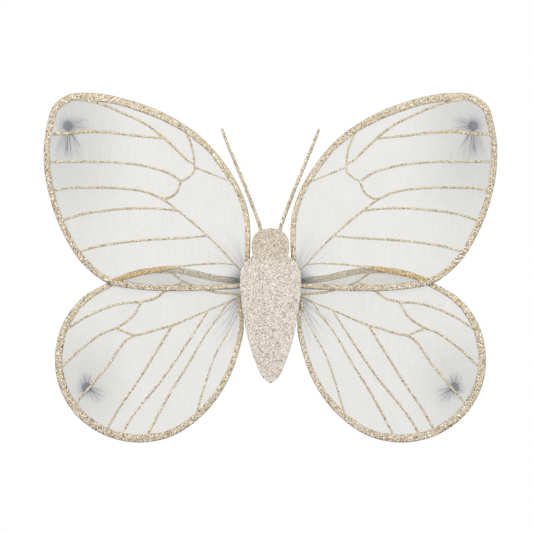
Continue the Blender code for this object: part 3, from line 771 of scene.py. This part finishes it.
def knot(name, node, winding):
    """A puckered button in the place of its node, with turns of thread round its waist."""
    low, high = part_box(node)
    centre = (low + high) / 2 / MM
    radius = (high.x - low.x) / 2 / MM
    half = (high.y - low.y) / 2 / MM
    angle = np.arange(72) * math.tau / 72
    rings = []
    for out, deep in smooth(BUTTON_SECTION, 2):
        pucker = np.sin(angle * 13 + 2.2 * deep) + 0.5 * np.sin(angle * 29 - 1.4 * deep)
        size = radius * out * (1 - PUCKER + PUCKER * pucker * min(out * 1.6, 1))
        fold = PUCKER * pucker * math.copysign(1, deep) * min(out * 1.5, 1) * (abs(deep) < 0.97)
        rise = np.clip(half * (deep - fold), -half, half)
        rings.append(np.stack([centre.x + size * np.cos(angle), centre.y + rise,
                               centre.z + size * np.sin(angle)], -1))
    button = build(name, [grid(rings)])
    turns = np.linspace(0, 3 * math.tau, 90)
    wound = np.stack([centre.x + radius * WAIST * np.cos(turns),
                      centre.y + half * (0.5 + 0.2 * turns / turns[-1]),
                      centre.z + radius * WAIST * np.sin(turns)], -1)
    coil = build(winding, [grid(sweep(wound, circle(6, 0.24), (0, 1, 0)))])
    return button, coil


for level in WING_EDGES:
    for side_name in SIDES:
        name = f"{level}_{side_name}"
        button, coil = knot(f"{name}_button", f"{name}_knot", f"{name}_knot_thread")
        settle(button, bunched, f"{side_name}_wings", [f"{name}_knot"])
        settle(coil, thread, f"{side_name}_wings")

# ---------------------------------------------------------------------------------------------------
# Thread: a tie round both legs of each wire, a binding between the left and the right wire, and a
# tie where the upper and the lower wire cross.


YARN_RADIUS = 0.34


def yarn(path, twists):
    """Two plies of thread, twisted round each other along a closed path."""
    along = travel(path, closed=True)
    # A direction that no stretch of thread here lies along, so that it can turn the plies.
    helper = np.array([0.31, 0.72, 0.62])
    first = np.cross(along, helper)
    first /= np.linalg.norm(first, axis=1)[:, None]
    second = np.cross(along, first)
    turn = np.linspace(0, math.tau * twists, len(path), endpoint=False)[:, None]
    plies = []
    for start in (0, math.pi):
        shift = first * np.cos(turn + start) + second * np.sin(turn + start)
        ply = path + shift * YARN_RADIUS * 0.5
        plies.append(grid(sweep(ply, circle(6, YARN_RADIUS * 0.56), helper, closed=True), joined=True))
    return plies


def stadium(centre, long_axis, short_axis, reach, bend):
    """A loop of two half circles with this bend, drawn apart along its long axis."""
    angle = (np.arange(48) + 0.5) / 48 * math.tau
    along = np.copysign(reach, np.cos(angle)) + bend * np.cos(angle)
    places = np.array(centre) + along[:, None] * np.array(long_axis, float)
    return places + (bend * np.sin(angle))[:, None] * np.array(short_axis, float)


def loops(node, turns, axis, long_axis, short_axis, bend, apart):
    """So many turns of thread side by side, in the place of a node, with some room at their ends."""
    low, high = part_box(node)
    centre = np.array((low + high) / 2) / MM
    size = np.array(high - low) / MM
    reach = abs(np.dot(size, long_axis)) / 2 - bend - 0.4
    grids = []
    for turn in range(turns):
        shift = np.array(axis, float) * (turn - (turns - 1) / 2) * apart
        path = stadium(centre + shift, long_axis, short_axis, reach, bend)
        grids += yarn(path, 9 + turn)
    return grids


for level in WING_EDGES:
    for side_name in SIDES:
        node = f"{level}_{side_name}_thread_tie"
        tie = build(f"{node}_turns", loops(node, 3, (1, 0, 0), (0, 0, 1), (0, 1, 0), 1.5, 0.75))
        settle(tie, thread, "body", [node])
    node = f"{level}_wire_binding"
    binding = build(f"{node}_turns", loops(node, 3, (0, 0, 1), (1, 0, 0), (0, 1, 0), 1.5, 0.75))
    settle(binding, thread, "body", [node])
for side_name in SIDES:
    node = f"{side_name}_crossing_tie"
    tie = build(f"{node}_turns", loops(node, 2, (1, 0, 0), (0, 1, 0), (0, 0, 1), 1.8, 0.7))
    settle(tie, beige_thread, f"{side_name}_wings", [node])

# ---------------------------------------------------------------------------------------------------
# Inside the body: a card stiffener behind the front, wadding above and below the wires, and the two
# bare antenna wires.

# White card with a faint fibre.
card, tree, shader, place = new_material("white card", "white_card", Roughness=0.75)
fibre = {"Vector": place, "Scale": 1 / (3.0 * MM), "Detail": 3.0}
fibre = add_node(tree, "ShaderNodeTexNoise", fibre).outputs["Fac"]
tint = {0: fibre, 6: "#D8D6CF", 7: "#E9E8E2"}
tint = add_node(tree, "ShaderNodeMix", tint, data_type="RGBA").outputs[2]
tree.links.new(tint, shader.inputs["Base Color"])
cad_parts["body_stiffener"].data.materials[0] = card
for side_name in SIDES:
    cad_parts[f"{side_name}_antenna_stem"].data.materials[0] = steel

# Polyester wadding: white, matt and fluffy.
wadding, tree, shader, place = new_material("polyester wadding", "polyester_wadding", Roughness=1.0,
                                            Sheen_Weight=0.6)
tufts = {"Vector": place, "Scale": 1 / (3.5 * MM), "Detail": 4.0}
tufts = add_node(tree, "ShaderNodeTexNoise", tufts).outputs["Fac"]
tint = {0: tufts, 6: "#DCDCD8", 7: "#F6F6F4"}
tint = add_node(tree, "ShaderNodeMix", tint, data_type="RGBA").outputs[2]
tree.links.new(tint, shader.inputs["Base Color"])
raised = add_node(tree, "ShaderNodeBump", {"Height": tufts, "Distance": 1.2 * MM})
tree.links.new(raised.outputs[0], shader.inputs["Normal"])

# Half of the body's outline: the head from its crown to the neck, then the tapering trunk.
HEAD = [(0, 71.8), (8.6, 70.3), (15.9, 65.6), (19.5, 57.5), (19.7, 49.5), (18.4, 42.9)]
TRUNK = [(18.4, 42.9), (26.6, 35.6), (31.6, 26.5), (32.2, 13), (28.6, -22), (23.2, -47), (15, -72),
         (7.6, -86.5), (0, -92.2)]
BODY_HALF = np.vstack([smooth(HEAD, 12)[:-1], smooth(TRUNK, 12)])


def body_width(up):
    """Half of the body's width at this height."""
    return np.interp(up, BODY_HALF[::-1, 1], BODY_HALF[::-1, 0])


def corners(node):
    """A node's lowest and highest corner in millimetres."""
    low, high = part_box(node)
    return low / MM, high / MM


def slab(node, inset, bevel, columns, spacing, grain, seed, puff=0.0):
    """A flat piece with the body's outline in the place of a node, with rounded edges.

    Its faces are rough by the grain, and swell in their middle by the puff.
    """
    low, high = corners(node)
    top, bottom, front, back = high.z, low.z, low.y, high.y
    rng = np.random.default_rng(seed)
    rows = int((top - bottom) / spacing)
    share = (1 - np.cos(np.linspace(0, math.pi, rows + 1))) / 2
    steps = 0.55 * np.linspace(0, 1, rows + 1) + 0.45 * share
    heights = top + (bottom - top) * steps
    turn = np.linspace(-math.pi / 2, math.pi / 2, 7)[1:-1]
    middle, half = (front + back) / 2, (back - front) / 2
    rings = []
    for up in heights:
        near = min(top - up, up - bottom)
        round_end = math.sqrt(max(1 - (1 - min(near / bevel, 1)) ** 2, 0.02))
        width = max(body_width(up) - inset, 0.05)
        corner = min(bevel, half, width * 0.5)
        columns_at = np.linspace(-1, 1, columns) * (width - corner)
        swell = 1 + puff * (1 - np.linspace(-1, 1, columns) ** 2) * min(near / 8, 1)
        lift = half * round_end * swell
        face = np.stack([columns_at, middle - lift, np.full(columns, up)], -1)
        rear = np.stack([columns_at[::-1], middle + lift[::-1], np.full(columns, up)], -1)
        edge_y = np.sin(turn) * corner + np.sign(np.sin(turn)) * (half - corner)
        right = np.stack([width - corner + np.cos(turn) * corner, middle + edge_y * round_end,
                          np.full(len(turn), up)], -1)
        left = right[::-1] * (-1, 1, 1)
        ring = np.concatenate([face, right, rear, left])
        ring[:, 1] += rng.uniform(-grain, grain, len(ring))
        rings.append(ring)
    return grid(rings)


for name, seed in (("head_padding", 51), ("tail_padding", 52)):
    fill = slab(name, 2.2, 2.6, 15, 2.2, grain=0.22, seed=seed, puff=-0.02)
    stuffing = build(f"{name}_wadding", [fill])
    settle(stuffing, wadding, "body", [name])

# ---------------------------------------------------------------------------------------------------
# Body front: a head and a tapering trunk in one piece of soft foam, closely covered with glitter.

# Beige glitter foam: champagne flecks on a paler ground, less gold than the borders. On the head its
# flakes are multiplied darker: painted shade.
foam = glitter("beige glitter foam", "beige_glitter_foam", "#6C5637", "#F0E4D4", "#FFFEFA",
               tone_and_painted_light=("MULTIPLY", "#F3EEE6"), flake=0.66, metal=0.28, tilt=1.0)

cover = slab("body_front", 0.0, 0.9, 61, 1.0, grain=0.07, seed=53)
body_front = build("glitter_foam_body", [cover])
# Painted shade: the head's glitter is painted a little darker than the trunk's.
hold(body_front, "tone_and_painted_light", ease(cover[0][:, 2], 34, 46))
settle(body_front, foam, "body", ["body_front"])

# ---------------------------------------------------------------------------------------------------
# Body back: a felt cover cut to the same outline, and an oval felt patch over its stitches.

# White wool felt: matt, with short fibres in every direction.
felt, tree, shader, place = new_material("white felt", "white_felt", Roughness=0.95, Sheen_Weight=0.5)
fibre = {"Vector": place, "Scale": 1 / (0.9 * MM), "Detail": 4.0}
fibre = add_node(tree, "ShaderNodeTexNoise", fibre).outputs["Fac"]
matted = {"Vector": place, "Scale": 1 / (6.0 * MM), "Detail": 3.0}
matted = add_node(tree, "ShaderNodeTexNoise", matted).outputs["Fac"]
tint = {0: fibre, 6: "#C2BDB2", 7: "#F6F4EF"}
tint = add_node(tree, "ShaderNodeMix", tint, data_type="RGBA").outputs[2]
tint = {0: matted, 6: tint, 7: "#E6E3DC"}
tint = add_node(tree, "ShaderNodeMix", tint, data_type="RGBA").outputs[2]
tree.links.new(tint, shader.inputs["Base Color"])
raised = add_node(tree, "ShaderNodeBump", {"Height": fibre, "Distance": 0.35 * MM})
tree.links.new(raised.outputs[0], shader.inputs["Normal"])

low, high = corners("body_back")
cover = slab("body_back", 0.0, 0.7, 41, 1.4, grain=0.05, seed=54)
body_back = build("felt_back_cover", [cover])
settle(body_back, felt, "body", ["body_back"])
area = 2 * np.trapz(BODY_HALF[::-1, 0], BODY_HALF[::-1, 1])

low, high = corners("back_patch")
half_wide, half_tall = (high.x - low.x) / 2, (high.z - low.z) / 2
rng = np.random.default_rng(55)
angle = np.arange(96) * math.tau / 96
# Half of the patch's section, as (out, deep) in shares of its half width and of its thickness.
PATCH_SECTION = [(0.03, 0), (0.2, 0), (0.4, 0), (0.6, 0), (0.8, 0), (0.93, 0), (0.975, 0.06),
                 (0.995, 0.25), (1, 0.5), (0.995, 0.75), (0.975, 0.94), (0.93, 1), (0.7, 1), (0.4, 1),
                 (0.03, 1)]
rings = []
for share, deep in PATCH_SECTION:
    y = high.y + (low.y - high.y) * deep + rng.uniform(-0.03, 0.03, len(angle)) - 0.03 * (deep == 0)
    rings.append(np.stack([half_wide * share * np.sin(angle), y, half_tall * share * np.cos(angle)], -1))
patch = build("oval_felt_patch", [grid(rings)])
settle(patch, felt, "body", ["back_patch"])

# ---------------------------------------------------------------------------------------------------
# Straps: a loop of flat white elastic for each arm. Its two ends are tabs sewn to the back cover.

# The spacing of the elastic's ribs, and of the threads that cross them.
RIB_SPACING = 1.0
PICK_SPACING = 1.4

# White woven elastic: fine ribs along the band, crossed by the weave.
elastic, tree, shader, _ = new_material("woven elastic", "white_elastic", Roughness=0.8, Sheen_Weight=0.2)
across = add_node(tree, "ShaderNodeAttribute", attribute_name="weave").outputs["Vector"]
parts = add_node(tree, "ShaderNodeSeparateXYZ", {0: across})
waves = []
for axis, spacing in enumerate((RIB_SPACING, PICK_SPACING)):
    wave = {0: parts.outputs[axis], 1: math.tau / spacing}
    wave = add_node(tree, "ShaderNodeMath", wave, operation="MULTIPLY").outputs[0]
    waves.append(add_node(tree, "ShaderNodeMath", {0: wave}, operation="SINE").outputs[0])
weave = {0: waves[0], 1: 0.6, 2: waves[1]}
weave = add_node(tree, "ShaderNodeMath", weave, operation="MULTIPLY_ADD").outputs[0]
weave = add_node(tree, "ShaderNodeMapRange", {0: weave, 1: -1.6, 2: 1.6}).outputs[0]
tint = {0: weave, 6: "#CFCFCC", 7: "#F4F4F2"}
tint = add_node(tree, "ShaderNodeMix", tint, data_type="RGBA").outputs[2]
tree.links.new(tint, shader.inputs["Base Color"])
raised = add_node(tree, "ShaderNodeBump", {"Height": weave, "Distance": 0.25 * MM})
tree.links.new(raised.outputs[0], shader.inputs["Normal"])

# The route of a strap as (back, up): flat on the cover, out round the arm and flat on the cover again.
STRAP_ROUTE = [(-1.1, 40.2), (-1.1, 44), (-1.05, 48), (0.3, 51.3), (3.2, 52.2), (9, 50.6), (18, 48),
               (34, 45), (62, 36), (82, 15), (88, -12), (78, -37), (55, -54), (30, -58), (18, -56.8),
               (9, -55), (3.2, -53.2), (0.3, -51.5), (-1.05, -48), (-1.1, -44), (-1.1, -40.2)]
# Half of the elastic's width and of its thickness.
STRAP_HALF = 4.9
STRAP_THIN = 0.62


def webbing(name, route):
    """A flat woven band along a path that keeps to one plane, with soft edges and raised ribs."""
    across = np.linspace(-1, 1, 41)
    rounded = np.clip(1 - np.abs(across) ** 10, 0.05, 1) ** 0.5
    ribs = 1 + 0.12 * np.cos(across * STRAP_HALF * math.tau / RIB_SPACING)
    thin = STRAP_THIN * rounded * ribs
    deep = np.append(thin, -thin[-2:0:-1])
    wide = STRAP_HALF * np.append(across, across[-2:0:-1])
    profile = np.stack([deep, wide], 1)
    obj = build(name, [grid(sweep(route, profile, (1, 0, 0)))])
    along = np.append(0, np.cumsum(np.linalg.norm(np.diff(route, axis=0), axis=1)))
    weave = np.zeros((len(route), len(profile), 3))
    weave[..., 0] = profile[:, 1]
    weave[..., 1] = along[:, None]
    hold(obj, "weave", weave, "FLOAT_VECTOR")
    return obj


def stitches(name, places):
    """Short stitches that stand out of the cloth backwards, each from one place to the next."""
    t = np.linspace(0, 1, 6)[:, None]
    lift = np.array((0, 1, 0)) * (0.42 * np.sin(t * math.pi) - 0.1)
    grids = []
    for start, end in places:
        path = start + (end - start) * t + lift
        grids.append(grid(sweep(path, circle(6, 0.26), (0.3, 1, 0.2))))
    return build(name, grids)


def running(path, stitch, gap):
    """Where each stitch starts and ends along a seam."""
    along = np.append(0, np.cumsum(np.linalg.norm(np.diff(path, axis=0), axis=1)))
    length = along[-1]
    count = round(length / (stitch + gap))
    starts = np.arange(count) * length / count
    at = [np.stack([np.interp(where, along, column) for column in path.T], 1)
          for where in (starts, starts + stitch)]
    return list(zip(*at, strict=True))


# Pale cotton for the sewing on the back.
sewing = spun_cotton("pale cotton thread", "white_elastic", "#9C958A", "#C9C3B8", Roughness=0.85)

for side_name, side in SIDES.items():
    low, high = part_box(f"{side_name}_strap")
    centre = (low.x + high.x) / 2 / MM
    route = smooth(STRAP_ROUTE, 12)
    path = np.stack([np.full(len(route), centre), route[:, 0], route[:, 1]], 1)
    band = webbing(f"{side_name}_arm_loop", path)
    nodes = [f"{side_name}_strap", f"{side_name}_strap_tab_upper", f"{side_name}_strap_tab_lower"]
    settle(band, elastic, f"{side_name}_strap", nodes, ((0, 0.001, 0), (0, 0.011, 0)))
    seams = []
    for end in ("upper", "lower"):
        # A box of stitches with one diagonal. The end that the loop comes out of is left free.
        low, high = corners(f"{side_name}_strap_tab_{end}")
        left, right, foot, top = low.x + 1.4, high.x - 1.4, low.z + 1.3, high.z - 4.2
        if end == "lower":
            foot, top = low.z + 4.2, high.z - 1.3
        turns = [(left, foot), (right, foot), (right, top), (left, top), (left, foot), (right, top)]
        seam = np.array([(x, -0.42, z) for x, z in turns])
        seams += running(seam, 1.5, 0.7)
    settle(stitches(f"{side_name}_strap_sewing", seams), sewing, "body")

# The patch is sewn down all round, just inside its edge.
low, high = corners("back_patch")
angle = np.linspace(0, math.tau, 200)
level_y = np.full(len(angle), high.y - 0.05)
seam = np.stack([(high.x - 2) * np.sin(angle), level_y, (high.z - 2) * np.cos(angle)], 1)
settle(stitches("patch_sewing", running(seam, 2.6, 1.6)), sewing, "body")

# ---------------------------------------------------------------------------------------------------
# Antennae: two thin stalks out of the crown, curved outward, coated with champagne glitter.

ANTENNA_ROUTE = [(9.6, 68.4), (11.2, 74), (20.4, 99.6), (35.7, 137.8), (43.7, 156.9), (51.6, 177.4)]
STALK_RADIUS = 1.85
STALK_POINTS, STALK_SIDES = 130, 14

# Two places at the crown, given with the stalks; the stalks are not bent between them.
CROWN_BEND = ((0, 0, 0.07), (0, 0, 0.08))

for side_name, side in SIDES.items():
    low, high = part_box(f"{side_name}_antenna")
    y = (low.y + high.y) / 2 / MM
    rng = np.random.default_rng(61)
    path = evenly(smooth(ANTENNA_ROUTE, 10), STALK_POINTS)
    # Rounded off at both ends, uneven along its length, and a little thinner towards the tip.
    step = np.arange(STALK_POINTS)
    ends = np.minimum(step * 0.8, step[::-1] * 0.8)
    radius = STALK_RADIUS * np.sqrt(np.clip((ends + 0.2) / 1.9, 0, 1))
    radius = radius * (1 + wander(STALK_POINTS, 7, 0.06, rng))
    radius = radius * (1 - 0.12 * np.linspace(0, 1, STALK_POINTS) ** 3)
    grain = 1 + rng.uniform(-0.05, 0.05, (STALK_POINTS, STALK_SIDES))
    profile = circle(STALK_SIDES)[None] * (radius[:, None] * grain)[..., None]
    rings = sweep(upright(path, y, side), profile, (0, 1, 0))
    stalk = build(f"{side_name}_glitter_antenna", [grid(rings)])
    settle(stalk, champagne, f"{side_name}_antenna", [f"{side_name}_antenna"], CROWN_BEND)

low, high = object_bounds()
